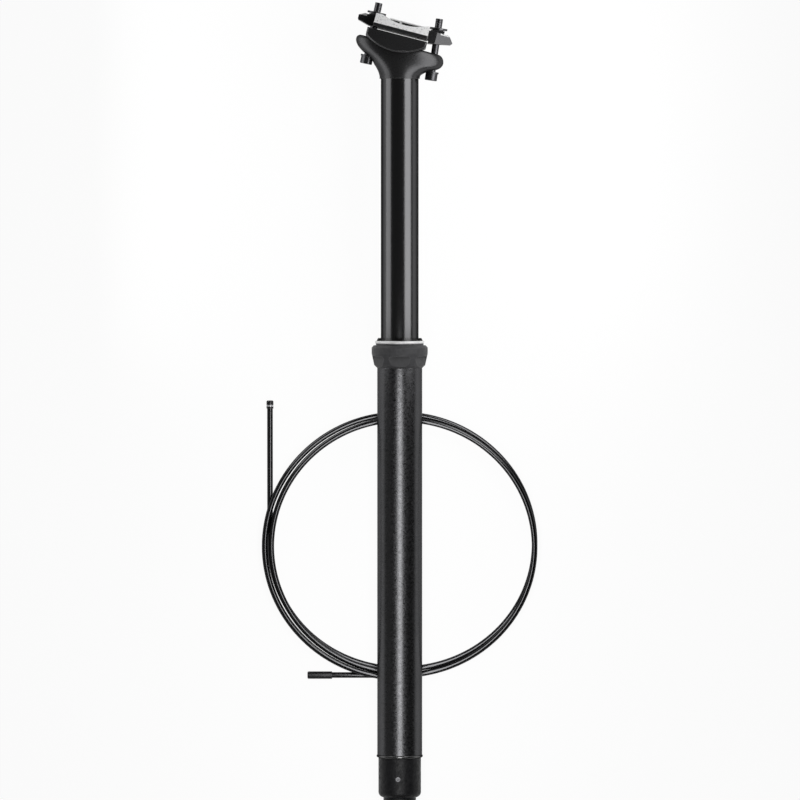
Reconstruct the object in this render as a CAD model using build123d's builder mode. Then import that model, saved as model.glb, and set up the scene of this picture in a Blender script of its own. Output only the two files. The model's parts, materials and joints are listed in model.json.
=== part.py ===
from build123d import *
import os
from math import cos, pi, radians, sin, sqrt

os.makedirs("parts", exist_ok=True)

# Sizes in millimetres, read off the photograph with the lower tube taken as 31.6 across.
tube_diameter = 31.6
tube_bore = 28.6
tube_length = 271.7
tube_neck_step = 0.5
stanchion_diameter = 26.5
stanchion_bore = 23.5
exposed_length = 181.8
stanchion_overlap = 105.0
drop_travel = 170.0
running_gap = 0.08
moving_gap = 0.3
overrun = 2.0

# Collar and seals at the mouth of the lower tube.
collar_diameter = 39.4
collar_height = 15.9
collar_shoulder = 5.6
collar_foot_diameter = 35.8
collar_foot_height = 2.0
collar_neck_diameter = 33.4
collar_mouth = 36.6
scallop_count = 6
scallop_width = 15.0
scallop_height = 12.0
scallop_rise = 2.3
scallop_depth = 2.6
ring_diameter = 34.4
ring_height = 2.1
ring_groove = 1.1
lip_diameter = 32.4
lip_height = 1.9
edge_round = 1.6

# Saddle clamp, in the tilted frame about the centre of the rocker.
clamp_tilt = 14.5
rocker_radius = 34.6
rocker_gap = 0.25
rocker_forward = 3.2
rocker_rise = 52.2
clamp_half_width = 26.5
rail_spacing = 44.0
rail_diameter = 7.0
rail_drop = 21.55
parting_gap = 1.7

# Fasteners of the clamp.
bolt_diameter = 5.0
bolt_length = 38.6
bolt_head_diameter = 8.5
bolt_head_height = 5.0
bolt_gap = 0.3
washer_diameter = 9.6
washer_height = 1.2
seat_depth = 40.4

# Forged head.
neck_diameter = 28.4
spigot_length = 16.0
arm_back_reach = 31.4
boss_front_reach = 37.8

# Actuator at the foot of the lower tube.
foot_ring_diameter = 31.2
foot_ring_height = 2.1
housing_diameter = 29.9
housing_height = 28.0
boss_diameter = 22.9
boss_height = 10.9
stop_height = 3.5

# The post lies on its side: its axis runs along Y at this height above the surface.
axis_height = clamp_half_width
neck_place = tube_length + collar_height + ring_groove + ring_height + lip_height + exposed_length
top_reach = 54.8
foot_reach = foot_ring_height + housing_height + boss_height + stop_height
post_x = (arm_back_reach - boss_front_reach) / 2
post_y = (foot_reach - neck_place - top_reach) / 2


def side(y=0.0, z=0.0):
    """Plane seen from above, with its origin on the post's axis and its Y along the post."""
    return Plane(origin=(post_x, post_y + y, axis_height + z), x_dir=(1, 0, 0), z_dir=(0, 0, 1))


def across(y):
    """Plane square to the post, y above the lower end of the tube."""
    return Plane(origin=(post_x, post_y + y, axis_height), x_dir=(1, 0, 0), z_dir=(0, 1, 0))


post_axis = Axis((post_x, post_y, axis_height), (0, 1, 0))


def keep(piece, name):
    """Label a finished piece and write it out."""
    piece.part.label = name
    export_step(piece.part, "parts/" + name + ".step")


def turned(outline):
    """A piece turned about the post's axis from (radius, place along the post) points."""
    with BuildPart() as piece:
        with BuildSketch(side()):
            with BuildLine():
                Polyline(*outline, close=True)
            make_face()
        revolve(axis=post_axis)
    return piece


# Lower tube: a reduced neck for the collar's thread, and three grooves in its bore for the guide keys.
key_diameter = 3.0
key_length = 10.0
key_count = 3
key_gap = 0.12
bushing_length = 20.0
tube_mouth = tube_length + collar_height - ring_groove
groove_top = tube_length - bushing_length
groove_radius = stanchion_diameter / 2
tube_radius = tube_diameter / 2
tube_neck_radius = tube_radius - tube_neck_step

with BuildPart() as outer_tube:
    with BuildSketch(across(0)):
        Circle(tube_radius)
    extrude(amount=tube_length)
    with BuildSketch(across(0)):
        Circle(tube_neck_radius)
    extrude(amount=tube_mouth)
    with BuildSketch(across(0)):
        Circle(tube_bore / 2)
    extrude(amount=tube_mouth, mode=Mode.SUBTRACT)
    with BuildSketch(across(0)):
        with PolarLocations(groove_radius, key_count, start_angle=90):
            Circle(key_diameter / 2 + key_gap)
    extrude(amount=groove_top, mode=Mode.SUBTRACT)
keep(outer_tube, "outer_tube")

# Collar screwed over the mouth of the lower tube, with grip scallops round its lower half.
collar_top = tube_length + collar_height
lip_seat = 2.2
seal_outer = stanchion_diameter / 2 + lip_seat
ring_low = collar_top + ring_groove
ring_high = ring_low + ring_height
lip_top = ring_high + lip_height
collar_radius = collar_diameter / 2
with BuildPart() as seal_collar:
    with BuildSketch(side()):
        with BuildLine():
            Polyline(
                (tube_neck_radius, tube_length),
                (tube_radius, tube_length),
                (collar_foot_diameter / 2, tube_length + collar_foot_height),
                (collar_radius, collar_top - collar_shoulder),
                (collar_radius, collar_top - edge_round),
                (collar_mouth / 2, collar_top),
                (collar_neck_diameter / 2, collar_top),
                (collar_neck_diameter / 2, ring_low),
                (seal_outer, ring_low),
                (seal_outer, tube_mouth),
                (tube_neck_radius, tube_mouth),
                close=True,
            )
        make_face()
    revolve(axis=post_axis)
    belt = edges().filter_by(GeomType.CIRCLE).group_by(SortBy.RADIUS)[-1]
    fillet(belt, edge_round / 2)
    for turn in range(scallop_count):
        angle = radians(90 + 360 * turn / scallop_count)
        outward = Vector(cos(angle), 0, sin(angle))
        centre = Vector(post_x, post_y + tube_length + scallop_rise, axis_height)
        flat = Plane(centre + outward * (collar_radius - scallop_depth), x_dir=(0, 1, 0), z_dir=outward)
        with BuildSketch(flat):
            RectangleRounded(scallop_height, scallop_width, edge_round)
        extrude(amount=collar_radius, mode=Mode.SUBTRACT)
keep(seal_collar, "seal_collar")

# Bright trim ring above the collar, then the lip of the wiper seal.
seal_inner = stanchion_diameter / 2 + moving_gap
trim_ring = turned(
    [
        (seal_outer, ring_low),
        (ring_diameter / 2 - ring_height / 4, ring_low),
        (ring_diameter / 2, ring_low + ring_height / 4),
        (ring_diameter / 2, ring_high - ring_height / 4),
        (ring_diameter / 2 - ring_height / 4, ring_high),
        (seal_outer, ring_high),
    ]
)
keep(trim_ring, "trim_ring")

wiper_seal = turned(
    [
        (seal_inner, tube_mouth),
        (seal_outer, tube_mouth),
        (seal_outer, ring_high),
        (lip_diameter / 2, ring_high),
        (lip_diameter / 2 - lip_height / 2, lip_top),
        (seal_inner, lip_top),
    ]
)
keep(wiper_seal, "wiper_seal")

# Sliding sleeves: one fixed at the mouth of the tube, one riding on the foot of the stanchion.
upper_bushing = turned(
    [
        (stanchion_diameter / 2 + running_gap, groove_top),
        (tube_bore / 2, groove_top),
        (tube_bore / 2, tube_mouth),
        (stanchion_diameter / 2 + running_gap, tube_mouth),
    ]
)
keep(upper_bushing, "upper_bushing")

stanchion_foot = neck_place - exposed_length - stanchion_overlap
stanchion_radius = stanchion_diameter / 2
sleeve_height = 14.0
sleeve_rise = 16.0
sleeve_low = stanchion_foot + sleeve_rise
sleeve_wall = 1.2
with BuildPart() as stanchion_tube:
    with BuildSketch(across(stanchion_foot)):
        Circle(stanchion_radius)
        Circle(stanchion_bore / 2, mode=Mode.SUBTRACT)
    extrude(amount=neck_place - stanchion_foot)
    with BuildSketch(across(sleeve_low)):
        Circle(stanchion_radius + overrun)
        Circle(tube_bore / 2 - running_gap - sleeve_wall, mode=Mode.SUBTRACT)
    extrude(amount=sleeve_height, mode=Mode.SUBTRACT)
    with BuildSketch(across(stanchion_foot + key_diameter)):
        with PolarLocations(groove_radius, key_count, start_angle=90):
            Circle(key_diameter / 2)
    extrude(amount=key_length, mode=Mode.SUBTRACT)
keep(stanchion_tube, "stanchion_tube")

guide_sleeve = turned(
    [
        (tube_bore / 2 - running_gap - sleeve_wall, sleeve_low),
        (tube_bore / 2 - running_gap, sleeve_low),
        (tube_bore / 2 - running_gap, sleeve_low + sleeve_height),
        (tube_bore / 2 - running_gap - sleeve_wall, sleeve_low + sleeve_height),
    ]
)
keep(guide_sleeve, "guide_sleeve")

with BuildPart() as guide_keys:
    with BuildSketch(across(stanchion_foot + key_diameter)):
        with PolarLocations(groove_radius, key_count, start_angle=90):
            Circle(key_diameter / 2)
    extrude(amount=key_length)
keep(guide_keys, "guide_keys")

# Forged head: a loft from the round neck to a long tilted oval, whose two arms carry the bolts.
tilt = radians(clamp_tilt)
section_rises = [0.0, 3.4, 7.2, 10.9, 14.8, 18.8, 23.7]
section_tilt_shares = [0.0, 0.28, 0.69, 0.93, 1.0, 1.0, 1.0]
section_lengths = [14.2, 14.9, 18.4, 23.8, 29.5, 31.6, 28.4]
section_widths = [14.2, 14.3, 14.3, 14.0, 13.6, 13.2, 12.2]
rocker_x = post_x + rocker_forward
rocker_y = post_y + neck_place + rocker_rise


def tilted(z=0.0):
    """Plane seen from above about the centre of the rocker, X along the saddle's rails."""
    return Plane((rocker_x, rocker_y, axis_height + z), x_dir=(cos(tilt), -sin(tilt), 0), z_dir=(0, 0, 1))


def in_row(along, up):
    """Place of a point of the tilted frame."""
    return tilted().from_local_coords(Vector(along, up, 0))


def square_to_rails(along, up, z):
    """Plane square to the rails, at a place of the tilted frame and z above the post's axis."""
    way = Vector(cos(tilt), -sin(tilt), 0)
    return Plane(in_row(along, up) + Vector(0, 0, z), x_dir=(0, 0, 1), z_dir=way)


# Bolt axes: a point on the washer's seat and the centre of the barrel nut, (along the rails, up).
rear_seat = (-15.9, -41.0)
rear_nut_place = (-17.0, -12.2)
front_seat = (30.6, -41.0)
front_nut_place = (27.4, -12.2)
nut_barrel = 10.0
nut_length = 16.0
nut_flange_diameter = 13.2
nut_flange_height = 1.3
nut_flange_rise = 0.6
hole_slack = 0.9


def bolt_line(seat, nut):
    """Seat, nut centre and direction of a bolt in the row's frame."""
    low, high = in_row(*seat), in_row(*nut)
    return low, high, (high - low).normalized()


def on_bolt(seat, nut, rise):
    """Plane square to a bolt, this far above its washer's seat."""
    low, high, way = bolt_line(seat, nut)
    return Plane(low + way * rise, x_dir=(0, 0, 1), z_dir=way)


bolts = [("rear", rear_seat, rear_nut_place), ("front", front_seat, front_nut_place)]

with BuildPart() as clamp_head:
    for rise, share, length, width in zip(
        section_rises, section_tilt_shares, section_lengths, section_widths
    ):
        lean = tilt * share
        with BuildSketch(
            Plane(
                (post_x, post_y + neck_place + rise, axis_height),
                x_dir=(cos(lean), -sin(lean), 0),
                z_dir=(sin(lean), cos(lean), 0),
            )
        ):
            Ellipse(length, width)
    loft()
    top_rim = edges().sort_by(Axis((rocker_x, rocker_y, axis_height), (sin(tilt), cos(tilt), 0)))[-1]
    fillet(top_rim, edge_round)
    with BuildSketch(across(neck_place - spigot_length)):
        Circle(stanchion_bore / 2)
    extrude(amount=spigot_length + section_rises[1])
    with BuildSketch(tilted()):
        Circle(rocker_radius + rocker_gap)
    extrude(amount=clamp_half_width, both=True, mode=Mode.SUBTRACT)
    for name, seat, nut in bolts:
        with BuildSketch(on_bolt(seat, nut, 0)):
            Circle(bolt_diameter / 2 + hole_slack)
        extrude(amount=bolt_length, both=True, mode=Mode.SUBTRACT)
        with BuildSketch(on_bolt(seat, nut, moving_gap)):
            Circle(washer_diameter / 2 + hole_slack)
        extrude(amount=-bolt_length, mode=Mode.SUBTRACT)
keep(clamp_head, "clamp_head")

# Lower cradle: a round-bottomed rocker with a groove for each rail and a notch for the rear bolt.
cradle_back = -20.6
cradle_front = 22.3
cradle_top = -(rail_drop + parting_gap / 2)
notch_width = 7.0
notch_front = -10.0
bevel = 0.9


def rocker_drop(along):
    """Height of the rocker's round face at a place along it."""
    return -sqrt(rocker_radius**2 - along**2)


with BuildPart() as lower_cradle:
    with BuildSketch(tilted()):
        with BuildLine():
            Line((cradle_back, rocker_drop(cradle_back)), (cradle_back, cradle_top))
            Line((cradle_back, cradle_top), (cradle_front, cradle_top))
            Line((cradle_front, cradle_top), (cradle_front, rocker_drop(cradle_front)))
            ThreePointArc(
                (cradle_front, rocker_drop(cradle_front)),
                (0, -rocker_radius),
                (cradle_back, rocker_drop(cradle_back)),
            )
        make_face()
    extrude(amount=clamp_half_width, both=True)
    cheeks = faces().filter_by(Axis.Z)
    chamfer(cheeks.edges(), bevel)
    for z in (-rail_spacing / 2, rail_spacing / 2):
        with BuildSketch(square_to_rails(cradle_back - overrun, -rail_drop, z)):
            Circle(rail_diameter / 2)
        extrude(amount=cradle_front - cradle_back + 2 * overrun, mode=Mode.SUBTRACT)
    with BuildSketch(tilted(-notch_width / 2)):
        with BuildLine():
            Polyline(
                (cradle_back - overrun, cradle_top + overrun),
                (notch_front, cradle_top + overrun),
                (notch_front, -rocker_radius - overrun),
                (cradle_back - overrun, -rocker_radius - overrun),
                close=True,
            )
        make_face()
    extrude(amount=notch_width, mode=Mode.SUBTRACT)
keep(lower_cradle, "lower_cradle")

# Upper clamp: a spine with a boss for each bolt, and a faceted wing over each rail.
spine_half_width = 10.0
wing_inner = 15.0
wing_back = -17.2
wing_front = 21.6
wing_skirt = 2.4
ridge_drop = 11.3
spine_drop = 12.2
boss_back = -28.9
boss_front = 40.1
rear_boss_drop = 13.2
front_boss_drop = 13.8
boss_nose = 5.4
boss_bevel = 4.0
boss_hang = 2.2
scoop_radius = 39.0
scoop_place = 4.0
scoop_drop = 14.8
pocket_drop = 17.6
rib_width = 1.6
rib_place = 1.0
trough_gap = 0.3
slot_half_length = 4.4
clamp_low = -(rail_drop - parting_gap / 2)

with BuildPart() as upper_clamp:
    with BuildSketch(tilted()):
        with BuildLine():
            Polyline(
                (boss_back, clamp_low + boss_hang),
                (boss_back, -rear_boss_drop - boss_bevel / 2),
                (boss_back + boss_bevel, -rear_boss_drop),
                (rear_nut_place[0] + nut_barrel, -rear_boss_drop),
                (rear_nut_place[0] + nut_barrel, -spine_drop),
                (front_nut_place[0] - nut_barrel, -spine_drop),
                (front_nut_place[0] - nut_barrel + boss_bevel / 2, -front_boss_drop),
                (boss_front - boss_bevel, -front_boss_drop),
                (boss_front - boss_bevel / 4, -front_boss_drop - boss_bevel),
                (boss_front, clamp_low + boss_hang / 2),
                (cradle_front + moving_gap, clamp_low - boss_hang),
                (cradle_front + moving_gap, clamp_low),
                (cradle_back, clamp_low),
                close=True,
            )
        make_face()
    extrude(amount=spine_half_width, both=True)
    fillet(edges().filter_by(Axis.Z).sort_by(Axis.X)[0], bevel)
    wing_frame = Plane(in_row(wing_back, 0), x_dir=(0, 0, -1), z_dir=(cos(tilt), -sin(tilt), 0))
    for hand in (-1, 1):
        with BuildSketch(wing_frame):
            with BuildLine():
                Polyline(
                    (hand * (spine_half_width - overrun), clamp_low),
                    (hand * clamp_half_width, clamp_low),
                    (hand * clamp_half_width, clamp_low + wing_skirt),
                    (hand * wing_inner, -ridge_drop),
                    (hand * (wing_inner - rib_width), -ridge_drop),
                    (hand * (wing_inner - rib_width), -pocket_drop),
                    (hand * (spine_half_width - overrun), -pocket_drop),
                    close=True,
                )
            make_face()
        extrude(amount=wing_front - wing_back)
    for low, high in (
        (-clamp_half_width, -spine_half_width - moving_gap),
        (spine_half_width + moving_gap, clamp_half_width),
    ):
        with BuildSketch(tilted(low)):
            with Locations((scoop_place, scoop_radius - scoop_drop)):
                Circle(scoop_radius)
        extrude(amount=high - low, mode=Mode.SUBTRACT)
    with BuildSketch(tilted()):
        with Locations((rib_place, -(pocket_drop + spine_drop) / 2 - rib_width)):
            Rectangle(rib_width, pocket_drop - spine_drop)
    extrude(amount=wing_inner, both=True)
    for z in (-rail_spacing / 2, rail_spacing / 2):
        with BuildSketch(square_to_rails(wing_back - overrun, -rail_drop, z)):
            Circle(rail_diameter / 2)
        extrude(amount=wing_front - wing_back + 2 * overrun, mode=Mode.SUBTRACT)
    for name, seat, nut in bolts:
        with BuildSketch(tilted()):
            with Locations(nut):
                Circle(nut_barrel / 2 + trough_gap)
        extrude(amount=nut_length / 2 + trough_gap, both=True, mode=Mode.SUBTRACT)
        with BuildSketch(on_bolt(seat, nut, 0)):
            SlotOverall(2 * slot_half_length, bolt_diameter + 2 * trough_gap, rotation=90)
        extrude(amount=bolt_length, mode=Mode.SUBTRACT)
keep(upper_clamp, "upper_clamp")

# Clamp bolts with their washers, and the flanged barrel nuts they screw into.
key_socket = 4.0
socket_depth = 2.6
nut_neck = 8.0
for name, seat, nut in bolts:
    low, high, way = bolt_line(seat, nut)
    grip = (high - low).length
    with BuildPart() as bolt:
        with BuildSketch(on_bolt(seat, nut, -washer_height - bolt_head_height)):
            Circle(bolt_head_diameter / 2)
        extrude(amount=bolt_head_height)
        fillet(edges().group_by(Axis(low, way))[0], bevel / 2)
        with BuildSketch(on_bolt(seat, nut, -washer_height)):
            Circle(bolt_diameter / 2)
        extrude(amount=bolt_length)
        with BuildSketch(on_bolt(seat, nut, -washer_height - bolt_head_height)):
            RegularPolygon(key_socket / 2, side_count=6, major_radius=False)
        extrude(amount=socket_depth, mode=Mode.SUBTRACT)
    keep(bolt, name + "_bolt")

    with BuildPart() as washer:
        with BuildSketch(on_bolt(seat, nut, -washer_height)):
            Circle(washer_diameter / 2)
            Circle(bolt_diameter / 2, mode=Mode.SUBTRACT)
        extrude(amount=washer_height)
    keep(washer, name + "_washer")

    with BuildPart() as barrel_nut:
        with BuildSketch(Plane(high, x_dir=way.cross(Vector(0, 0, 1)), z_dir=(0, 0, 1))):
            Circle(nut_barrel / 2)
            with Locations((0, nut_barrel / 2)):
                Rectangle(nut_barrel + overrun, nut_barrel, mode=Mode.SUBTRACT)
        extrude(amount=nut_length / 2, both=True)
        with BuildSketch(on_bolt(seat, nut, grip - nut_flange_height)):
            Circle(nut_neck / 2)
        extrude(amount=nut_flange_height + nut_flange_rise)
        with BuildSketch(on_bolt(seat, nut, grip + nut_flange_rise)):
            Circle(nut_flange_diameter / 2)
        extrude(amount=nut_flange_height)
        with BuildSketch(on_bolt(seat, nut, 0)):
            Circle(bolt_diameter / 2 + bolt_gap)
        extrude(amount=2 * bolt_length, mode=Mode.SUBTRACT)
    keep(barrel_nut, name + "_nut")

# Gas-spring cartridge: its cylinder rides in the stanchion, its rod stands on the actuator.
rod_diameter = 9.0
rod_bore = 3.8
pin_diameter = 3.0
gland_height = 9.0
gland_inset = 1.0
cylinder_diameter = 21.2
cylinder_bore = 18.8
cylinder_cap = 4.0
pad_height = 3.0
pad_diameter = 20.0
piston_height = 8.0
piston_rise = 2.5
float_rise = 195.0
spigot_height = 12.0
rod_seat = -4.0
rod_nut_diameter = 15.0
rod_nut_height = 5.0
spigot_gap = 0.05
gland_low = stanchion_foot + gland_inset
gland_high = gland_low + gland_height
pad_top = neck_place - spigot_length
cylinder_top = pad_top - pad_height
piston_low = gland_high + piston_rise
rod_top = piston_low + piston_height

gland_nut = turned(
    [
        (rod_diameter / 2 + running_gap, gland_low),
        (stanchion_bore / 2, gland_low),
        (stanchion_bore / 2, gland_high),
        (rod_diameter / 2 + running_gap, gland_high),
    ]
)
keep(gland_nut, "gland_nut")

cartridge_cylinder = turned(
    [
        (cylinder_bore / 2, gland_high),
        (cylinder_diameter / 2, gland_high),
        (cylinder_diameter / 2, cylinder_top),
        (0, cylinder_top),
        (0, cylinder_top - cylinder_cap),
        (cylinder_bore / 2, cylinder_top - cylinder_cap),
    ]
)
keep(cartridge_cylinder, "cartridge_cylinder")

with BuildPart() as cartridge_pad:
    with BuildSketch(across(cylinder_top)):
        Circle(pad_diameter / 2)
    extrude(amount=pad_height)
keep(cartridge_pad, "cartridge_pad")

with BuildPart() as floating_piston:
    with BuildSketch(across(piston_low + float_rise)):
        Circle(cylinder_bore / 2 - running_gap)
    extrude(amount=piston_height)
keep(floating_piston, "floating_piston")

with BuildPart() as rod_piston:
    with BuildSketch(across(piston_low)):
        Circle(cylinder_bore / 2 - running_gap)
        Circle(rod_diameter / 2, mode=Mode.SUBTRACT)
    extrude(amount=piston_height)
keep(rod_piston, "rod_piston")

with BuildPart() as cartridge_rod:
    with BuildSketch(across(rod_seat)):
        Circle(rod_diameter / 2)
        Circle(rod_bore / 2, mode=Mode.SUBTRACT)
    extrude(amount=rod_top - rod_seat)
keep(cartridge_rod, "cartridge_rod")

with BuildPart() as rod_nut:
    with BuildSketch(across(spigot_height)):
        RegularPolygon(rod_nut_diameter / 2, side_count=6, major_radius=False)
        Circle(rod_diameter / 2, mode=Mode.SUBTRACT)
    extrude(amount=rod_nut_height)
keep(rod_nut, "rod_nut")

# Actuator at the foot: housing, lever, its pivot pin, the push pin of the valve, and a set screw.
ring_inner = 27.4
housing_round = 3.6
foot_low = -foot_ring_height
floor_low = foot_low - housing_height
boss_low = floor_low - boss_height
stop_low = boss_low - stop_height
lever_width = 5.6
lever_thickness = 5.0
lever_arm = 5.6
anchor_arm = 5.6
lever_inset = 1.0
window_rise = 5.0
window_drop = 5.2
lever_place = floor_low - lever_inset
window_top = lever_place + window_rise
window_low = lever_place - window_drop
window_inner = 3.4
lever_pivot = 3.0
anchor_diameter = 2.4
stop_diameter = 7.8
socket_diameter = 5.2
cable_hole = 2.4
stop_reach = 11.0
pin_reach = 18.0
screw_diameter = 3.4
screw_aside = 1.2
screw_inset = 14.4
screw_place = foot_low - screw_inset
screw_depth = 5.0
pin_flat = lever_place + lever_thickness / 2 + moving_gap

foot_ring = turned(
    [
        (ring_inner / 2, foot_low),
        (foot_ring_diameter / 2 - foot_ring_height / 4, foot_low),
        (foot_ring_diameter / 2, foot_low + foot_ring_height / 4),
        (foot_ring_diameter / 2, -foot_ring_height / 4),
        (foot_ring_diameter / 2 - foot_ring_height / 4, 0),
        (ring_inner / 2, 0),
    ]
)
keep(foot_ring, "foot_o_ring")


def lateral(x, y, z):
    """A point by its place across, along and above the post's axis."""
    return Vector(post_x + x, post_y + y, axis_height + z)


def beside_pivot(x):
    """Plane square to the lever's pivot, x to the side of the post's axis."""
    return Plane(lateral(x, lever_place, -lever_arm), x_dir=(0, 1, 0), z_dir=(1, 0, 0))


def over_screw(depth):
    """Plane over the set screw, this deep under the housing's skin."""
    skin = lateral(-screw_aside, screw_place, housing_diameter / 2 - depth)
    return Plane(skin, x_dir=(1, 0, 0), z_dir=(0, 0, 1))


with BuildPart() as actuator_housing:
    with BuildSketch(across(floor_low)):
        Circle(housing_diameter / 2)
    extrude(amount=housing_height)
    fillet(edges().sort_by(Axis.Y)[0], housing_round)
    with BuildSketch(across(foot_low)):
        Circle(ring_inner / 2)
    extrude(amount=foot_ring_height)
    with BuildSketch(across(0)):
        Circle(tube_bore / 2 - spigot_gap)
    extrude(amount=spigot_height)
    with BuildSketch(across(boss_low)):
        Circle(boss_diameter / 2)
    extrude(amount=boss_height)
    with BuildSketch(across(stop_low)):
        with Locations((0, stop_reach)):
            Circle(stop_diameter / 2)
    extrude(amount=lever_place - stop_low)
    with BuildSketch(across(rod_seat)):
        Circle(rod_diameter / 2)
    extrude(amount=spigot_height - rod_seat, mode=Mode.SUBTRACT)
    with BuildSketch(across(window_top)):
        Circle(rod_bore / 2)
    extrude(amount=rod_seat - window_top, mode=Mode.SUBTRACT)
    with BuildSketch(across(window_low)):
        with Locations((0, (tube_radius - window_inner) / 2)):
            Rectangle(lever_width + 2 * moving_gap, tube_radius + window_inner)
    extrude(amount=window_top - window_low, mode=Mode.SUBTRACT)
    with BuildSketch(across(stop_low)):
        with Locations((0, stop_reach)):
            Circle(cable_hole / 2)
    extrude(amount=window_low - stop_low, mode=Mode.SUBTRACT)
    with BuildSketch(across(stop_low)):
        with Locations((0, stop_reach)):
            Circle(socket_diameter / 2)
    extrude(amount=boss_height / 2, mode=Mode.SUBTRACT)
    with BuildSketch(beside_pivot(-pin_reach / 2)):
        Circle(lever_pivot / 2)
    extrude(amount=pin_reach, mode=Mode.SUBTRACT)
    with BuildSketch(over_screw(screw_depth)):
        Circle(screw_diameter / 2)
    extrude(amount=screw_depth + overrun, mode=Mode.SUBTRACT)
keep(actuator_housing, "actuator_housing")

with BuildPart() as lever_pin:
    with BuildSketch(beside_pivot(-pin_reach / 2)):
        Circle(lever_pivot / 2)
    extrude(amount=pin_reach)
keep(lever_pin, "lever_pin")

with BuildPart() as set_screw:
    with BuildSketch(over_screw(screw_depth)):
        Circle(screw_diameter / 2)
    extrude(amount=screw_depth - bevel / 2)
    with BuildSketch(over_screw(bevel / 2)):
        RegularPolygon(screw_diameter / 4, side_count=6, major_radius=False)
    extrude(amount=-socket_depth, mode=Mode.SUBTRACT)
keep(set_screw, "actuator_set_screw")

with BuildPart() as actuator_lever:
    lever_frame = Plane(lateral(-lever_width / 2, lever_place, -lever_arm), x_dir=(0, 0, 1), z_dir=(-1, 0, 0))
    with BuildSketch(lever_frame):
        SlotOverall(lever_arm + anchor_arm + lever_thickness, lever_thickness)
        Circle(lever_pivot / 2 + running_gap, mode=Mode.SUBTRACT)
        with Locations((-anchor_arm, 0)):
            Circle(anchor_diameter / 2, mode=Mode.SUBTRACT)
    extrude(amount=-lever_width)
keep(actuator_lever, "actuator_lever")

with BuildPart() as valve_pin:
    with BuildSketch(across(pin_flat + pin_diameter / 2)):
        Circle(pin_diameter / 2)
    extrude(amount=piston_low - pin_flat)
    with Locations(lateral(0, pin_flat + pin_diameter / 2, 0)):
        Sphere(pin_diameter / 2)
keep(valve_pin, "valve_pin")

# Cable housing in two lengths, laid in one ring on the surface under the post.
cord_diameter = 4.0
cord_rest = 0.05
ring_aside = 0.4
ring_along = 144.9
ring_x = post_x + ring_aside
ring_y = post_y + ring_along
tip_diameter = 4.9
tip_length = 5.6
cap_diameter = 5.2
cap_length = 17.4
crimp_diameter = 4.2
crimp_length = 8.0
tail_a_length = 97.6
tail_b_length = 48.2
floor_level = cord_diameter / 2 + cord_rest
gap_samples = 240
gap_diameters = 6

# Where each length stands at every quarter turn: (radius from the ring's centre, height of its axis).
coil_a = [
    (92.0, floor_level),
    (86.6, floor_level),
    (95.0, floor_level),
    (93.4, 3.3),
    (95.8, 6.8),
    (92.4, 7.85),
]
coil_b = [(91.0, floor_level), (94.9, 6.5), (89.8, 7.2), (91.1, 6.8), (88.6, 5.95)]
quarter = pi / 2


def ring_point(angle, radius, height):
    """A point of the ring by its angle, radius and height."""
    return Vector(ring_x + radius * cos(angle), ring_y + radius * sin(angle), height)


def stations(start, table):
    """Points and directions of a coil at its quarter turns."""
    places = []
    for n, (radius, height) in enumerate(table):
        angle = start + n * quarter
        before, after = table[max(n - 1, 0)], table[min(n + 1, len(table) - 1)]
        inner = 0 < n < len(table) - 1
        spread = (after[0] - before[0]) / pi if inner else 0
        climb = (after[1] - before[1]) / pi if inner else 0
        way = Vector(
            spread * cos(angle) - radius * sin(angle), spread * sin(angle) + radius * cos(angle), climb
        )
        places.append((ring_point(angle, radius, height), way.normalized()))
    return places


def biarc(start, start_way, end, end_way):
    """Joint of two tangent arcs from start to end, with the direction there."""
    chord = end - start
    ways = start_way + end_way
    spare = 2 * (1 - start_way.dot(end_way))
    reach = (-chord.dot(ways) + sqrt(chord.dot(ways) ** 2 + spare * chord.dot(chord))) / spare
    first, last = start + start_way * reach, end - end_way * reach
    return (first + last) * 0.5, (last - first).normalized()


def coil(places):
    """One unbroken tube along biarcs through the quarter turns."""
    with BuildPart() as piece:
        with BuildLine() as route:
            for (start, start_way), (end, end_way) in zip(places, places[1:]):
                joint, joint_way = biarc(start, start_way, end, end_way)
                TangentArc(start, joint, tangent=start_way)
                TangentArc(joint, end, tangent=joint_way)
        with BuildSketch(Plane(places[0][0], z_dir=places[0][1])):
            Circle(cord_diameter / 2)
        sweep()
    return piece, route.wires()[0]


def straight(start, way, length, diameter):
    """A straight round piece from a point along a direction."""
    with BuildPart() as piece:
        with BuildSketch(Plane(start, z_dir=way)):
            Circle(diameter / 2)
        extrude(amount=length)
    return piece


def report(name, piece, line):
    """Print a coil's length, its volume against section times length and its least gap to itself."""
    points = [line @ (n / gap_samples) for n in range(gap_samples + 1)]
    apart = int(gap_diameters * cord_diameter * gap_samples / line.length) + 1
    gap = min(
        (points[a] - points[b]).length - cord_diameter
        for a in range(gap_samples + 1)
        for b in range(a + apart, gap_samples + 1)
    )
    share = piece.part.volume / (pi * cord_diameter**2 / 4 * line.length)
    print(name, "length", line.length, "volume share", share, "least gap to itself", gap)


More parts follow.
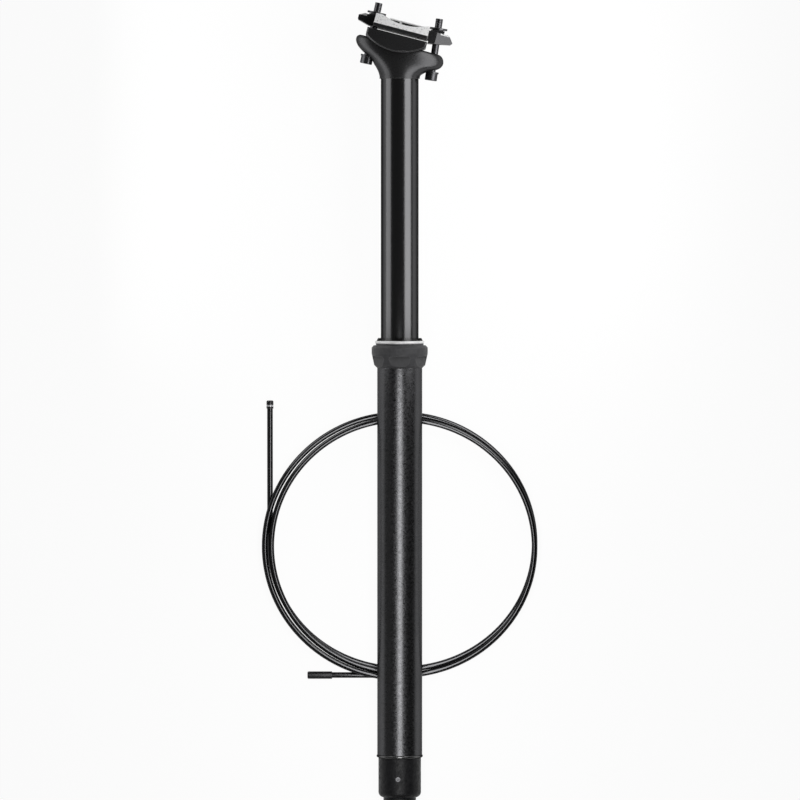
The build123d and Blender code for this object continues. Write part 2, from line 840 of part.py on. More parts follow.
for name, start_angle, table, tail_length in (
    ("a", pi, coil_a, tail_a_length),
    ("b", -quarter, coil_b, tail_b_length),
):
    places = stations(start_angle, table)
    loops, route = coil(places)
    keep(loops, "housing_" + name + "_coil")
    report(name, loops, route)
    begin, begin_way = places[0]
    finish, finish_way = places[-1]
    keep(straight(begin, begin_way * -1, tail_length, cord_diameter), "housing_" + name + "_tail")
    keep(straight(finish, finish_way, crimp_length, crimp_diameter), "housing_" + name + "_crimp")
    tail_end = begin - begin_way * tail_length
    if name == "a":
        tip_start, tip_size, tip_long = tail_end, tip_diameter, tip_length
    else:
        tip_start, tip_size, tip_long = tail_end, cap_diameter, cap_length
    tip_rise = Vector(0, 0, (tip_size - cord_diameter) / 2)
    with BuildPart() as end_cap:
        with BuildSketch(Plane(tip_start + tip_rise, z_dir=begin_way * -1)):
            Circle(tip_size / 2)
        extrude(amount=tip_long)
        fillet(edges().group_by(Axis(tip_start, begin_way * -1))[-1], bevel)
    keep(end_cap, "housing_" + name + "_end_cap")
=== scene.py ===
import bpy
import json
import bmesh
from math import atan, cos, pi, radians, sin, tan
from mathutils import Matrix, Vector


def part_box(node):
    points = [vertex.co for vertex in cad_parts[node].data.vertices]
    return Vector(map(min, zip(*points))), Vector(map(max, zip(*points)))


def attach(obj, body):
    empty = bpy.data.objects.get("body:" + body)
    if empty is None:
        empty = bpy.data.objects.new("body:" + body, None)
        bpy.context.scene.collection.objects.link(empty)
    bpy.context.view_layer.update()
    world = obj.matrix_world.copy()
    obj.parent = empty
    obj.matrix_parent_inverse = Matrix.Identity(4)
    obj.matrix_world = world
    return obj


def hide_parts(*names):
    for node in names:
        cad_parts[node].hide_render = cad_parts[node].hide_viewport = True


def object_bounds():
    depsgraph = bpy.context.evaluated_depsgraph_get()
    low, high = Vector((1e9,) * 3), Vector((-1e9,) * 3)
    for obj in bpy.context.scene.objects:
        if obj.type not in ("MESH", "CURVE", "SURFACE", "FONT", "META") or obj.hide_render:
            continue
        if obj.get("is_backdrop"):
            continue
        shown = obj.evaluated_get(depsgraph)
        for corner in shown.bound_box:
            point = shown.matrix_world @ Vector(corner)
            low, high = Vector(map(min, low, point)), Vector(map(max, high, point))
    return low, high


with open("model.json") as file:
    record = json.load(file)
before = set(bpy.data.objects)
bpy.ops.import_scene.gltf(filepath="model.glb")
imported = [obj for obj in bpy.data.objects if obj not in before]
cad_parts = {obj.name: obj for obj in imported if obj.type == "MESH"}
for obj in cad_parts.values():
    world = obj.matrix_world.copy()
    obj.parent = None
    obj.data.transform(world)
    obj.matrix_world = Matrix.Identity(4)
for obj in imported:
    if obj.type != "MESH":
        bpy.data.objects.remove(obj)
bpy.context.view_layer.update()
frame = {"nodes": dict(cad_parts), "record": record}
scene = bpy.context.scene
nodes = frame["nodes"]
axisHeight = 0.0265  # of the post over the floor, in metres, as every bare length is here
print("frame loaded,", len(nodes), "nodes")


def hexColour(text):
    # sRGB hex to the linear colour that the shaders take
    channels = [int(text[n:n + 2], 16) / 255 for n in (0, 2, 4)]
    return [c / 12.92 if c <= 0.04045 else ((c + 0.055) / 1.055) ** 2.4 for c in channels] + [1.0]


def addNode(tree, kind, settings=(), values=(), links=()):
    # one node with its settings, its socket values and what feeds its sockets
    node = tree.nodes.new(kind)
    for key, value in dict(settings).items():
        setattr(node, key, value)
    for socket, value in dict(values).items():
        node.inputs[socket].default_value = value
    for socket, source in dict(links).items():
        tree.links.new(source, node.inputs[socket])
    return node


def newMaterial(name):
    # an empty material with its tree and its output
    material = bpy.data.materials.new(name)
    material.use_nodes = True
    tree = material.node_tree
    tree.nodes.clear()
    return material, tree, addNode(tree, "ShaderNodeOutputMaterial")


def millimetres(size):
    # scale of a noise whose cells are about that many millimetres wide
    return 1000 / size


# Finishes. Every dictionary holds what a user would change; sizes in it are in millimetres. The black ones are drawn as
# dark metal with a darker rim: their highlights are as clear as a lacquer's, and their edges stay dark over a pale
# floor.
# where the paler edge colour starts and where it is full: partly wear, partly a painted highlight along the edges
wearAndHighlightStarts, wearAndHighlightIsFull = 0.99, 0.86  # how far the rounded normal leans from the flat one, as a cosine


def grainySkin(name, settings):
    # one skin: fine pits break up the highlight, slow clouds vary the colour, and edges are painted lighter: partly
    # wear, partly a painted highlight along each edge
    material, tree, output = newMaterial(name)
    place = addNode(tree, "ShaderNodeTexCoord").outputs["Object"]
    grain = addNode(tree, "ShaderNodeTexNoise", values={"Scale": millimetres(settings["grainMm"]), "Detail": 3.0,
                    "Roughness": 0.6}, links={"Vector": place}).outputs["Fac"]
    cloud = addNode(tree, "ShaderNodeTexNoise", values={"Scale": millimetres(settings["cloudMm"]), "Detail": 4.0},
                    links={"Vector": place}).outputs["Fac"]
    tone = addNode(tree, "ShaderNodeMix", {"data_type": "RGBA"}, {"A": hexColour(settings["dark"]),
                   "B": hexColour(settings["light"])}, {"Factor": cloud}).outputs["Result"]
    rounded = addNode(tree, "ShaderNodeBevel", {"samples": 6}, {"Radius": settings["edgeMm"] / 1000}).outputs["Normal"]
    flat = addNode(tree, "ShaderNodeNewGeometry").outputs["Normal"]
    turn = addNode(tree, "ShaderNodeVectorMath", {"operation": "DOT_PRODUCT"},
                   links={0: rounded, 1: flat}).outputs["Value"]
    edge = addNode(tree, "ShaderNodeMapRange", values={"From Min": wearAndHighlightStarts, "From Max": wearAndHighlightIsFull,
                   "To Max": settings["edgeWearAndHighlightShare"]}, links={"Value": turn}).outputs["Result"]
    # paler edge colour: partly wear, partly a painted highlight where the rounded edge would catch the light
    edgeWearAndHighlight = addNode(tree, "ShaderNodeMath", {"operation": "MULTIPLY"}, links={0: edge, 1: grain}).outputs[0]
    colour = addNode(tree, "ShaderNodeMix", {"data_type": "RGBA"}, {"B": hexColour(settings["wornEdgeAndHighlight"])},
                     {"Factor": edgeWearAndHighlight, "A": tone}).outputs["Result"]
    rough = addNode(tree, "ShaderNodeMapRange", values={"From Min": 0.3, "From Max": 0.7,
                    "To Min": settings["roughness"] - settings["spread"],
                    "To Max": settings["roughness"] + settings["spread"]}, links={"Value": grain}).outputs["Result"]
    bump = addNode(tree, "ShaderNodeBump", values={"Strength": settings["bump"],
                   "Distance": settings["depthMm"] / 1000},
                   links={"Height": grain, "Normal": rounded}).outputs["Normal"]
    skin = addNode(tree, "ShaderNodeBsdfPrincipled", values={"Metallic": settings["metallic"],
                   "Specular IOR Level": settings["gloss"], "Specular Tint": hexColour(settings["rim"])},
                   links={"Base Color": colour, "Roughness": rough, "Normal": bump})
    tree.links.new(skin.outputs["BSDF"], output.inputs["Surface"])
    return material


# 6061 tube, bead blasted and anodised black: a soft sheen broken by fine sparkle
tubeFinish = dict(dark="4c4c4d", light="565658", wornEdgeAndHighlight="b0b0b0", rim="a8a8a8", gloss=0.5, metallic=0.97, roughness=0.31,
                  spread=0.09, grainMm=1.6, cloudMm=18, bump=0.5, depthMm=0.07, edgeMm=0.3, edgeWearAndHighlightShare=0.5)
# collar, blasted coarser and left matte grey
collarFinish = dict(dark="2a2a2b", light="3c3c3e", wornEdgeAndHighlight="8c8c8c", rim="ffffff", gloss=0.3, metallic=0.0, roughness=0.55,
                    spread=0.1, grainMm=2.0, cloudMm=5, bump=0.7, depthMm=0.2, edgeMm=0.4, edgeWearAndHighlightShare=0.5)
# forging, tumbled and anodised satin black: rounder highlights than the tube
headFinish = dict(dark="3b3b3c", light="454546", wornEdgeAndHighlight="b4b4b4", rim="707070", gloss=0.5, metallic=0.75, roughness=0.3,
                  spread=0.05, grainMm=0.9, cloudMm=12, bump=0.15, depthMm=0.04, edgeMm=0.5, edgeWearAndHighlightShare=0.6)
# hard anodised and ground tube: a clear reflection with the faintest haze
stanchionFinish = dict(dark="4b4b4c", light="505051", wornEdgeAndHighlight="a0a0a0", rim="0c0c0c", gloss=0.5, metallic=0.92,
                       roughness=0.2, spread=0.02, grainMm=0.8, cloudMm=25, bump=0.03, depthMm=0.01, edgeMm=0.2,
                       edgeWearAndHighlightShare=0.3)
# heat-blackened steel: dark and satin, with a thin painted highlight along each edge, partly wear
boltFinish = dict(dark="444446", light="58585a", wornEdgeAndHighlight="c0c0c0", rim="808080", gloss=0.5, metallic=0.9, roughness=0.3,
                  spread=0.06, grainMm=0.6, cloudMm=4, bump=0.15, depthMm=0.03, edgeMm=0.3, edgeWearAndHighlightShare=0.7)
# moulded nitrile: black, smooth, with a wiped shine
rubberFinish = dict(dark="303030", light="383838", wornEdgeAndHighlight="484848", rim="0c0c0c", gloss=0.5, metallic=0.9, roughness=0.2,
                    spread=0.04, grainMm=0.5, cloudMm=6, bump=0.08, depthMm=0.02, edgeMm=0.2, edgeWearAndHighlightShare=0.3)
# bare aluminium, turned bright: pale grey with a wide soft sheen
brightFinish = dict(dark="c6c6c6", light="dadada", wornEdgeAndHighlight="ffffff", rim="ffffff", gloss=0.5, metallic=0.25,
                    roughness=0.35, spread=0.05, grainMm=0.6, cloudMm=5, bump=0.08, depthMm=0.02, edgeMm=0.2,
                    edgeWearAndHighlightShare=0.4)
# glass-filled nylon, mottled where the fibres lie near the skin
plasticFinish = dict(dark="050506", light="1b1b1d", wornEdgeAndHighlight="505052", rim="ffffff", gloss=0.22, metallic=0.0,
                     roughness=0.5, spread=0.14, grainMm=2.4, cloudMm=2.5, bump=0.9, depthMm=0.3, edgeMm=0.4,
                     edgeWearAndHighlightShare=0.6)
# ground steel: mid grey with a clear, slightly streaked shine
steelFinish = dict(dark="6c6c6e", light="8c8c8e", wornEdgeAndHighlight="d0d0d0", rim="c0c0c0", gloss=0.5, metallic=0.9, roughness=0.3,
                   spread=0.05, grainMm=0.4, cloudMm=3, bump=0.1, depthMm=0.02, edgeMm=0.2, edgeWearAndHighlightShare=0.5)
# turned brass: yellow, with a soft even shine
brassFinish = dict(dark="b08d4a", light="c7a35c", wornEdgeAndHighlight="e0c890", rim="ffffff", gloss=0.5, metallic=1.0, roughness=0.32,
                   spread=0.05, grainMm=0.4, cloudMm=5, bump=0.08, depthMm=0.01, edgeMm=0.2, edgeWearAndHighlightShare=0.4)
# machined acetal: flat warm grey, hardly any shine
bushingFinish = dict(dark="6c6c68", light="7a7a75", wornEdgeAndHighlight="9a9a94", rim="ffffff", gloss=0.4, metallic=0.0, roughness=0.5,
                     spread=0.06, grainMm=0.6, cloudMm=5, bump=0.1, depthMm=0.02, edgeMm=0.2, edgeWearAndHighlightShare=0.4)
# extruded jacket, glossy black with a fine haze
jacketFinish = dict(dark="444445", light="4c4c4d", wornEdgeAndHighlight="4c4c4c", rim="040404", gloss=0.5, metallic=0.97,
                    roughness=0.17, spread=0.02, grainMm=1.2, cloudMm=12, bump=0.02, depthMm=0.01, edgeMm=0.1,
                    edgeWearAndHighlightShare=0.1)
# moulded cap: satin black, painted paler at its rim: partly wear, partly a painted highlight
capFinish = dict(dark="3e3e3f", light="4c4c4d", wornEdgeAndHighlight="808082", rim="181818", gloss=0.5, metallic=0.95, roughness=0.3,
                 spread=0.06, grainMm=0.6, cloudMm=3, bump=0.15, depthMm=0.04, edgeMm=0.3, edgeWearAndHighlightShare=0.5)


clampSeat = dict(tilt=14.5, centre=(0, 0.2843, axisHeight))  # the rails' slope in degrees and the rocker's centre


def machinedClamp():
    # black anodised clamp whose sloped facets and crest are drawn pale: milled bare metal with a sandy grain, and
    # partly a painted highlight where these faces meet the light from above. The limits are in metres, square to the
    # rails from the rocker's centre (up) and along them.
    settings = dict(facetUp=0.854, facetZ=0.52, sharpness=0.985, wall=0.9, crestUp=-0.0131, ribUp=-0.0176,
                    ribAlong=0.001, ribHalf=0.0008, noseUp=-0.0149, rearNose=0.023, frontNose=0.03, noseHighlight=0.45,
                    bare="f6f6f6", pits="b4b4b6", pitsFrom=0.54, pitsTo=0.74, grainMm=1.2)
    black = grainySkin("blackClampWithMilledFacetsAndPaintedHighlight", headFinish)
    tree = black.node_tree
    output = next(node for node in tree.nodes if node.type == "OUTPUT_MATERIAL")
    skin = next(node for node in tree.nodes if node.type == "BSDF_PRINCIPLED")
    coordinates = addNode(tree, "ShaderNodeTexCoord")
    lean, centreY = radians(clampSeat["tilt"]), clampSeat["centre"][1]

    def against(way, socket, limit):
        # 1 where the socket reaches further than the limit along a way
        reach = addNode(tree, "ShaderNodeVectorMath", {"operation": "DOT_PRODUCT"}, {1: way},
                        {0: coordinates.outputs[socket]}).outputs["Value"]
        return addNode(tree, "ShaderNodeMath", {"operation": "GREATER_THAN"}, {1: limit}, {0: reach}).outputs[0]

    def both(first, second, rule):
        return addNode(tree, "ShaderNodeMath", {"operation": rule}, links={0: first, 1: second}).outputs[0]

    up, along = (sin(lean), cos(lean), 0), (cos(lean), -sin(lean), 0)
    slopes = [against((up[0] * settings["facetUp"], up[1] * settings["facetUp"], hand * settings["facetZ"]), "Normal",
                      settings["sharpness"]) for hand in (1, -1)]
    facets = both(*slopes, "MAXIMUM")
    crest = against(up, "Object", centreY * cos(lean) + settings["crestUp"])
    above = against(up, "Object", centreY * cos(lean) + settings["ribUp"])
    ribStart, ribEnd = (against(along, "Object", settings["ribAlong"] + side * settings["ribHalf"] -
                                centreY * sin(lean)) for side in (-1, 1))
    rib = both(both(ribStart, ribEnd, "SUBTRACT"), above, "MULTIPLY")
    walls = both(*[against((0, 0, hand), "Normal", settings["wall"]) for hand in (1, -1)], "MAXIMUM")
    # pale where the sloped facets, crest and rib face the light: milled metal and a painted highlight together
    paleFacetsAndHighlight = both(facets, both(walls, both(crest, rib, "MAXIMUM"), "MULTIPLY"), "MAXIMUM")
    grain = addNode(tree, "ShaderNodeTexNoise", values={"Scale": millimetres(settings["grainMm"]), "Detail": 2.0},
                    links={"Vector": coordinates.outputs["Object"]}).outputs["Fac"]
    spots = addNode(tree, "ShaderNodeMapRange", values={"From Min": settings["pitsFrom"],
                    "From Max": settings["pitsTo"]}, links={"Value": grain}).outputs["Result"]
    pale = addNode(tree, "ShaderNodeMix", {"data_type": "RGBA"}, {"A": hexColour(settings["bare"]),
                   "B": hexColour(settings["pits"])}, {"Factor": spots}).outputs["Result"]
    bare = addNode(tree, "ShaderNodeBsdfPrincipled", values={"Metallic": 0.1, "Roughness": 0.45,
                   "Specular IOR Level": 0.3}, links={"Base Color": pale})
    # painted highlight: the tops of both bosses are painted a dull grey where their top edges would catch the light
    noseTop = against(up, "Object", centreY * cos(lean) + settings["noseUp"])
    rearNose = against([-part for part in along], "Object", settings["rearNose"] + centreY * sin(lean))
    frontNose = against(along, "Object", settings["frontNose"] - centreY * sin(lean))
    nose = both(both(rearNose, frontNose, "MAXIMUM"), noseTop, "MULTIPLY")
    paintedNoseHighlight = addNode(tree, "ShaderNodeMath", {"operation": "MULTIPLY"}, {1: settings["noseHighlight"]}, {0: nose}).outputs[0]
    share = both(paleFacetsAndHighlight, paintedNoseHighlight, "MAXIMUM")
    mixed = addNode(tree, "ShaderNodeMixShader", links={0: share, 1: skin.outputs["BSDF"], 2: bare.outputs["BSDF"]})
    tree.links.new(mixed.outputs[0], output.inputs["Surface"])
    return black


def ringedCap():
    # the long tail's black cap, with the bare crimp band that shows as one bright ring above its skirt
    settings = dict(bandLow=0.0014, bandHigh=0.0026, band="b4b4b6")
    material = grainySkin("blackCapWithCrimpBand", capFinish)
    tree = material.node_tree
    output = next(node for node in tree.nodes if node.type == "OUTPUT_MATERIAL")
    skin = next(node for node in tree.nodes if node.type == "BSDF_PRINCIPLED")
    place = addNode(tree, "ShaderNodeTexCoord").outputs["Object"]
    along = addNode(tree, "ShaderNodeSeparateXYZ", links={"Vector": place}).outputs["Y"]
    over, under = (addNode(tree, "ShaderNodeMath", {"operation": rule}, {1: settings[limit]}, {0: along}).outputs[0]
                   for rule, limit in (("GREATER_THAN", "bandLow"), ("LESS_THAN", "bandHigh")))
    band = addNode(tree, "ShaderNodeMath", {"operation": "MULTIPLY"}, links={0: over, 1: under}).outputs[0]
    bare = addNode(tree, "ShaderNodeBsdfPrincipled", values={"Base Color": hexColour(settings["band"]),
                   "Metallic": 0.3, "Roughness": 0.3})
    mixed = addNode(tree, "ShaderNodeMixShader", links={0: band, 1: skin.outputs["BSDF"], 2: bare.outputs["BSDF"]})
    tree.links.new(mixed.outputs[0], output.inputs["Surface"])
    return material


finishes = {
    "tube_anodised": grainySkin("blastedBlackAnodisedAluminium", tubeFinish),
    "collar_anodised": grainySkin("blastedGreyAnodisedAluminium", collarFinish),
    "head_anodised": grainySkin("satinBlackAnodisedForging", headFinish),
    "stanchion_anodised": grainySkin("groundHardAnodisedAluminium", stanchionFinish),
    "black_steel": grainySkin("heatBlackenedSteel", boltFinish),
    "seal_rubber": grainySkin("mouldedNitrileRubber", rubberFinish),
    "bright_ring": grainySkin("turnedBrightAluminium", brightFinish),
    "actuator_plastic": grainySkin("mouldedGlassFilledNylon", plasticFinish),
    "steel": grainySkin("groundSteel", steelFinish),
    "raw_aluminium": grainySkin("machinedBareAluminium", brightFinish),
    "brass": grainySkin("turnedBrass", brassFinish),
    "bushing_polymer": grainySkin("machinedAcetal", bushingFinish),
    "housing_jacket": grainySkin("extrudedHousingJacket", jacketFinish),
    "cap_plastic": grainySkin("mouldedBlackCap", capFinish),
}
for part in frame["record"]["subparts"]:
    nodes[part["node"]].data.materials.clear()
    nodes[part["node"]].data.materials.append(finishes[part["material_slot"]])
nodes["upper_clamp"].data.materials[0] = machinedClamp()
nodes["actuator_set_screw"].data.materials[0] = finishes["black_steel"]
nodes["housing_a_end_cap"].data.materials[0] = ringedCap()
print("finishes made")

# Upper clamp: the noses of its two bosses are trimmed to the facets that the milled solid leaves square.
# Places are (forward along the rails, up from the rocker's centre), as in the CAD source.
rockerCentre, slope = Vector(clampSeat["centre"]), radians(clampSeat["tilt"])
rails = Vector((cos(slope), -sin(slope), 0))
lift = Vector((sin(slope), cos(slope), 0))
sideways = Vector((0, 0, 1))


def clampPoint(along, up, out):
    return rockerCentre + (rails * along + lift * up + sideways * out) / 1000


def prism(name, corners, way):
    # a closed block: flat outline swept along a way
    build = bmesh.new()
    low = build.faces.new([build.verts.new(corner) for corner in corners])
    swept = bmesh.ops.extrude_face_region(build, geom=[low])["geom"]
    bmesh.ops.translate(build, vec=way, verts=[v for v in swept if isinstance(v, bmesh.types.BMVert)])
    bmesh.ops.recalc_face_normals(build, faces=build.faces)
    mesh = bpy.data.meshes.new(name)
    build.to_mesh(mesh)
    build.free()
    block = bpy.data.objects.new(name, mesh)
    scene.collection.objects.link(block)
    return block


clampTrim = dict(cheekStart=27.5, halfWidth=10.0, cheekTilt=21, reach=46.0, low=-30.0, high=-5.0,
                 noseFrom=(34.5, -24.0), noseTo=(41.0, -17.0), noseHalf=15.0, spare=4.0)
cheekSlope, spare = tan(radians(clampTrim["cheekTilt"])), clampTrim["spare"]
cutters = []
for hand in (1, -1):
    width, start, reach = clampTrim["halfWidth"], clampTrim["cheekStart"], clampTrim["reach"]
    outline = [(start, width), (reach, width - (reach - start) * cheekSlope), (reach, width + spare),
               (start, width + spare)]
    corners = [clampPoint(along, clampTrim["low"], hand * out) for along, out in outline]
    cutters.append(prism("cheekCutter", corners, lift * (clampTrim["high"] - clampTrim["low"]) / 1000))
(alongFrom, upFrom), (alongTo, upTo) = clampTrim["noseFrom"], clampTrim["noseTo"]
outline = [(alongFrom, upFrom), (alongTo, upTo), (alongTo + spare, upTo), (alongTo + spare, upFrom - spare),
           (alongFrom, upFrom - spare)]
corners = [clampPoint(along, up, -clampTrim["noseHalf"]) for along, up in outline]
cutters.append(prism("noseCutter", corners, sideways * 2 * clampTrim["noseHalf"] / 1000))


def dressedCopy(nodeName, name, blocks):
    # merged copy of a CAD node with blocks cut away; the node itself is left as it is
    mesh = nodes[nodeName].data.copy()
    build = bmesh.new()
    build.from_mesh(mesh)
    bmesh.ops.remove_doubles(build, verts=build.verts, dist=2e-6)
    build.to_mesh(mesh)
    build.free()
    piece = bpy.data.objects.new(name, mesh)
    scene.collection.objects.link(piece)
    for block in blocks:
        cut = piece.modifiers.new(block.name, "BOOLEAN")
        cut.operation = "DIFFERENCE"
        cut.solver = "EXACT"
        cut.object = block
    evaluated = piece.evaluated_get(bpy.context.evaluated_depsgraph_get())
    finished = bpy.data.meshes.new_from_object(evaluated)
    piece.modifiers.clear()
    if "custom_normal" in finished.attributes:
        finished.attributes.remove(finished.attributes["custom_normal"])
    for polygon in finished.polygons:
        polygon.use_smooth = False
    piece.data = finished
    for block in blocks:
        bpy.data.objects.remove(block)
    return piece


clampTop = dressedCopy("upper_clamp", "clampTop", cutters)
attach(clampTop, "clamp")
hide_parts("upper_clamp")
print("clamp trimmed,", len(clampTop.data.polygons), "faces")

# Bolt threads: one ridge wound up each bolt's free end, from (start) above the seat of the bolt's head. The front nut
# climbs its bolt as the clamp tilts, so the ridge there starts above it. M5 pitch is 0.8, too fine for the render, so
# it is drawn at 1.2.
threads = dict(radius=2.38, ridge=0.3, pitch=1.2, end=38.0, start=dict(rear_bolt=32.4, front_bolt=35.2))
boltLines = {"rear_bolt": ((-15.9, -42.2), (-17.0, -12.2)), "front_bolt": ((30.7, -42.2), (27.4, -12.2))}


def threadTree(material):
    tree = bpy.data.node_groups.new("windThread", "GeometryNodeTree")
    for name, value in (("Radius", 0.0025), ("Ridge", 0.0004), ("Pitch", 0.0008), ("Turns", 5.0)):
        socket = tree.interface.new_socket(name, in_out="INPUT", socket_type="NodeSocketFloat")
        socket.default_value = value
    tree.interface.new_socket("Geometry", in_out="OUTPUT", socket_type="NodeSocketGeometry")
    given = addNode(tree, "NodeGroupInput").outputs
    height = addNode(tree, "ShaderNodeMath", {"operation": "MULTIPLY"}, links={0: given["Pitch"], 1: given["Turns"]})
    helix = addNode(tree, "GeometryNodeCurveSpiral", values={"Resolution": 20},
                    links={"Rotations": given["Turns"], "Start Radius": given["Radius"],
                           "End Radius": given["Radius"], "Height": height.outputs[0]}).outputs["Curve"]
    profile = addNode(tree, "GeometryNodeCurvePrimitiveCircle", values={"Resolution": 4},
                      links={"Radius": given["Ridge"]}).outputs["Curve"]
    ridge = addNode(tree, "GeometryNodeCurveToMesh", values={"Fill Caps": True},
                    links={"Curve": helix, "Profile Curve": profile}).outputs["Mesh"]
    real = addNode(tree, "GeometryNodeRealizeInstances", links={"Geometry": ridge}).outputs["Geometry"]
    painted = addNode(tree, "GeometryNodeSetMaterial", values={"Material": material}, links={"Geometry": real})
    addNode(tree, "NodeGroupOutput", links={"Geometry": painted.outputs["Geometry"]})
    return tree


windThread = threadTree(finishes["black_steel"])
for bolt, (seat, nut) in boltLines.items():
    foot, top = clampPoint(*seat, 0), clampPoint(*nut, 0)
    way = (top - foot).normalized()
    carrier = bpy.data.objects.new(bolt + "Thread", bpy.data.meshes.new(bolt + "Thread"))
    scene.collection.objects.link(carrier)
    winding = carrier.modifiers.new("windThread", "NODES")
    winding.node_group = windThread
    start = threads["start"][bolt]
    sizes = dict(Radius=threads["radius"] / 1000, Ridge=threads["ridge"] / 1000, Pitch=threads["pitch"] / 1000,
                 Turns=(threads["end"] - start) / threads["pitch"])
    for item in windThread.interface.items_tree:
        if item.in_out == "INPUT":
            winding[item.identifier] = sizes[item.name]
    wound = bpy.data.meshes.new_from_object(carrier.evaluated_get(bpy.context.evaluated_depsgraph_get()))
    carrier.modifiers.clear()
    turn = way.to_track_quat("Z", "X").to_matrix().to_4x4()
    wound.transform(Matrix.Translation(foot + way * start / 1000) @ turn)
    carrier.data = wound
    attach(carrier, bolt)
print("threads wound")

# O-ring at the foot of the lower tube: a round section squeezed slightly proud of the tube.
ringSeat = dict(axisX=-0.0032, axisZ=axisHeight, inner=0.0138, proud=0.0163, around=96, section=16)


def squeezedRing():
    low, high = (corner[1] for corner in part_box("foot_o_ring"))
    middle, half = (ringSeat["inner"] + ringSeat["proud"]) / 2, (ringSeat["proud"] - ringSeat["inner"]) / 2
    build = bmesh.new()
    loops = []
    for n in range(ringSeat["around"]):
        angle = 2 * pi * n / ringSeat["around"]
        loop = []
        for k in range(ringSeat["section"]):
            lean = 2 * pi * k / ringSeat["section"]
            radius = middle + half * cos(lean)
            loop.append(build.verts.new((ringSeat["axisX"] + radius * cos(angle), (low + high) / 2 + (high - low) / 2 *
                                         sin(lean), ringSeat["axisZ"] + radius * sin(angle))))
        loops.append(loop)
    for n, loop in enumerate(loops):
        following = loops[(n + 1) % len(loops)]
        for k in range(len(loop)):
            face = build.faces.new((loop[k], loop[k - 1], following[k - 1], following[k]))
            face.smooth = True
    bmesh.ops.recalc_face_normals(build, faces=build.faces)
    mesh = bpy.data.meshes.new("squeezedRing")
    build.to_mesh(mesh)
    build.free()
    mesh.materials.append(grainySkin("wetLookNitrileRing", dict(rubberFinish, dark="585858", light="646464")))
    return mesh


footRing = bpy.data.objects.new("footRing", squeezedRing())
scene.collection.objects.link(footRing)
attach(footRing, "root")
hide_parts("foot_o_ring")
print("foot ring made")

# Cable housing: radius from the ring's centre and height at every quarter turn, as in the CAD source.
housing = dict(radius=0.002, ringX=-0.0028, ringY=-0.0975, floor=0.00205, stepsAQuarter=6)
housingRoutes = {
    "a": dict(start=pi, tail=0.0976, loops=[(92.0, 2.05), (86.6, 2.05), (95.0, 2.05), (93.4, 3.3), (95.8, 6.8),
                                            (92.4, 7.85)]),
    "b": dict(start=-pi / 2, tail=0.0482, loops=[(91.0, 2.05), (94.9, 6.5), (89.8, 7.2), (91.1, 6.8), (88.6, 5.95)]),
}


def housingRoute(route):
    # the tail's end and where it meets the ring, then the ring's corners: each is half a step on and just outside the
    # loops, so that the spline lies on them
    table, steps = route["loops"], housing["stepsAQuarter"]
    slopes = [((after[0] - before[0]) / 2, (after[1] - before[1]) / 2) for before, after in zip(table, table[2:])]
    slopes = [(0, 0)] + slopes + [(0, 0)]

    def place(n, outside):
        k = min(int(n // steps), len(table) - 2)
        t = n / steps - k
        blendIn = (2 * t**3 - 3 * t**2 + 1, t**3 - 2 * t**2 + t, 3 * t**2 - 2 * t**3, t**3 - t**2)
        radius, height = (
            sum(w * v for w, v in zip(blendIn, (table[k][c], slopes[k][c], table[k + 1][c], slopes[k + 1][c])))
            for c in (0, 1)
        )
        angle = route["start"] + n / steps * pi / 2
        radius = radius * outside / 1000
        return Vector((housing["ringX"] + radius * cos(angle), housing["ringY"] + radius * sin(angle),
                       max(height / 1000, housing["floor"])))

    last = (len(table) - 1) * steps
    way = Vector((-sin(route["start"]), cos(route["start"]), 0))
    first, corner = place(0, 1), place(0.5, 1 / cos(pi / 4 / steps))
    tail = [first - way * route["tail"], first - way * (corner - first).length]
    return tail + [place(n + 0.5, 1 / cos(pi / 4 / steps)) for n in range(last)] + [place(last, 1)]


for name, route in housingRoutes.items():
    curve = bpy.data.curves.new("housing" + name.upper(), "CURVE")
    curve.dimensions = "3D"
    points = housingRoute(route)
    spline = curve.splines.new("NURBS")
    spline.points.add(len(points) - 1)
    for knot, point in zip(spline.points, points):
        knot.co = (*point, 1)
    spline.order_u = 3
    spline.use_endpoint_u = True
    curve.resolution_u = 6
    curve.bevel_depth = housing["radius"]
    curve.bevel_resolution = 6
    curve.use_fill_caps = True
    curve.materials.append(finishes["housing_jacket"])
    piece = bpy.data.objects.new("housing" + name.upper(), curve)
    scene.collection.objects.link(piece)
    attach(piece, "root")
    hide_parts("housing_%s_coil" % name, "housing_%s_tail" % name)
print("housing laid")

# Floor, lights and camera.
floorLook = dict(size=40.0, colour="f4f4f4", glow=0.95)
bpy.ops.mesh.primitive_plane_add(size=floorLook["size"], location=(0, 0, 0))
floor = bpy.context.object
floor.name = "studioFloor"
material, tree, output = newMaterial("palePaintedFloor")
diffuse = addNode(tree, "ShaderNodeBsdfDiffuse", values={"Color": hexColour(floorLook["colour"])})
glow = addNode(tree, "ShaderNodeEmission", values={"Color": (1, 1, 1, 1), "Strength": 1.0})
lightPath = addNode(tree, "ShaderNodeLightPath")
seen = addNode(tree, "ShaderNodeMath", {"operation": "MAXIMUM"},
               links={0: lightPath.outputs["Is Camera Ray"], 1: lightPath.outputs["Is Glossy Ray"]})
seen = addNode(tree, "ShaderNodeMath", {"operation": "MAXIMUM"},
               links={0: seen.outputs[0], 1: lightPath.outputs["Is Transmission Ray"]})
share = addNode(tree, "ShaderNodeMath", {"operation": "MULTIPLY"}, {1: floorLook["glow"]}, {0: seen.outputs[0]})
mixed = addNode(tree, "ShaderNodeMixShader", links={0: share.outputs[0], 1: diffuse.outputs[0], 2: glow.outputs[0]})
tree.links.new(mixed.outputs[0], output.inputs["Surface"])
floor.data.materials.append(material)
floor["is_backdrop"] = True

world = bpy.data.worlds.new("studioSurround")
scene.world = world
world.use_nodes = True
tree = world.node_tree
tree.nodes.clear()
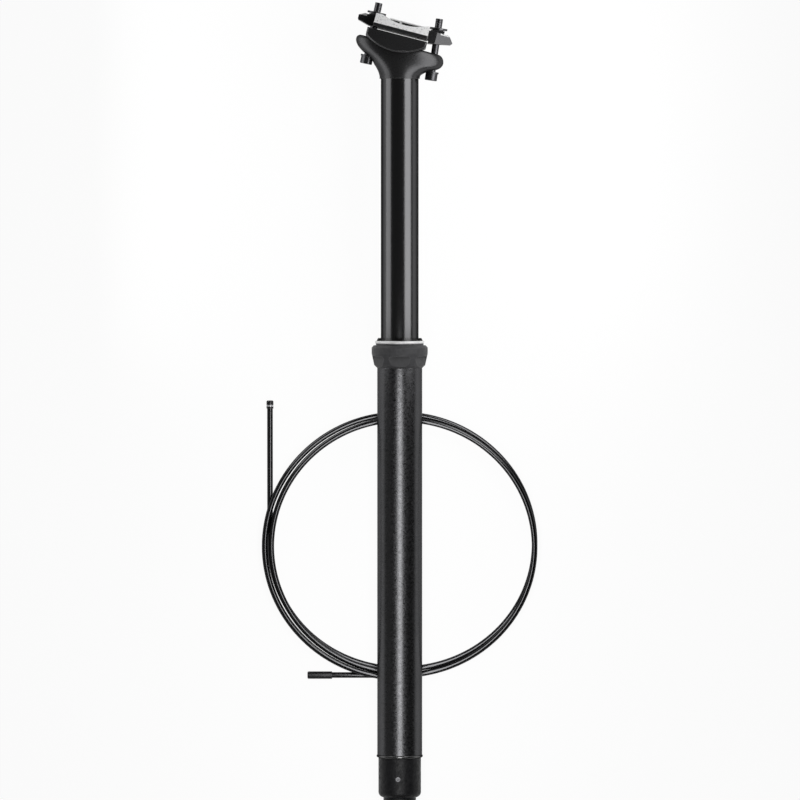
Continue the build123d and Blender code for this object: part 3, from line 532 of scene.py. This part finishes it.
# a dark studio over a thin pale horizon, so that black parts stay black from above; heights are the sine of the angle
surround = dict(paleBelow=0.05, pale=0.8, darkAbove=0.13, dark=0.02)
direction = addNode(tree, "ShaderNodeTexCoord").outputs["Generated"]
height = addNode(tree, "ShaderNodeSeparateXYZ", links={"Vector": direction}).outputs["Z"]
ramp = addNode(tree, "ShaderNodeValToRGB", links={"Fac": height})
for stop, place, tone in zip(ramp.color_ramp.elements, ("paleBelow", "darkAbove"), ("pale", "dark")):
    stop.position = surround[place]
    stop.color = (surround[tone], surround[tone], surround[tone], 1)
sky = addNode(tree, "ShaderNodeBackground", values={"Strength": 1.0}, links={"Color": ramp.outputs["Color"]})
addNode(tree, "ShaderNodeOutputWorld", links={"Surface": sky.outputs[0]})

# Softboxes hang beside the post, out of the camera's sight: angle from straight up towards +X, distance, width across
# and reach along the post.
lights = dict(
    upper=dict(angle=49, distance=0.2, along=(0.043, 0.38), width=0.145, radiance=4.4),
    upperLeft=dict(angle=-72, distance=0.2, along=(0.043, 0.38), width=0.115, radiance=2.5),
    lower=dict(angle=0, distance=0.2, along=(-0.36, 0.027), width=0.072, radiance=6.0),
    lowerLeft=dict(angle=-58, distance=0.2, along=(-0.36, 0.027), width=0.12, radiance=0.12),
)
for name, light in lights.items():
    lamp = bpy.data.lights.new(name + "SoftBox", "AREA")
    lamp.shape = "RECTANGLE"
    lamp.size = light["width"]
    lamp.size_y = light["along"][1] - light["along"][0]
    lamp.energy = light["radiance"] * pi * lamp.size * lamp.size_y
    box = bpy.data.objects.new(name + "SoftBox", lamp)
    scene.collection.objects.link(box)
    lean = radians(light["angle"])
    box.location = (light["distance"] * sin(lean), sum(light["along"]) / 2, axisHeight + light["distance"] * cos(lean))
    box.rotation_euler = (0, lean, 0)
    box.visible_camera = False

# The photo's camera, in millimetres: what it aims at, how far along the post it stands and how far off.
view = dict(targetX=-3.0, targetY=6.8, targetZ=26.5, overY=140.2, distance=4252.0, mmPerPixel=0.702, pixels=800,
            sensor=36)
camera = bpy.data.cameras.new("photoCamera")
camera.sensor_width = view["sensor"]
camera.lens = view["sensor"] * view["distance"] / (view["pixels"] * view["mmPerPixel"])
cameraObject = bpy.data.objects.new("photoCamera", camera)
scene.collection.objects.link(cameraObject)
rise = (view["distance"]**2 - (view["overY"] - view["targetY"])**2)**0.5
cameraObject.location = Vector((view["targetX"], view["overY"], view["targetZ"] + rise)) / 1000
cameraObject.rotation_euler = (-atan((view["overY"] - view["targetY"]) / rise), 0, 0)
camera.clip_end = 100
scene.camera = cameraObject
scene.view_settings.view_transform = "Standard"
print("floor, lights and camera set")

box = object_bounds()
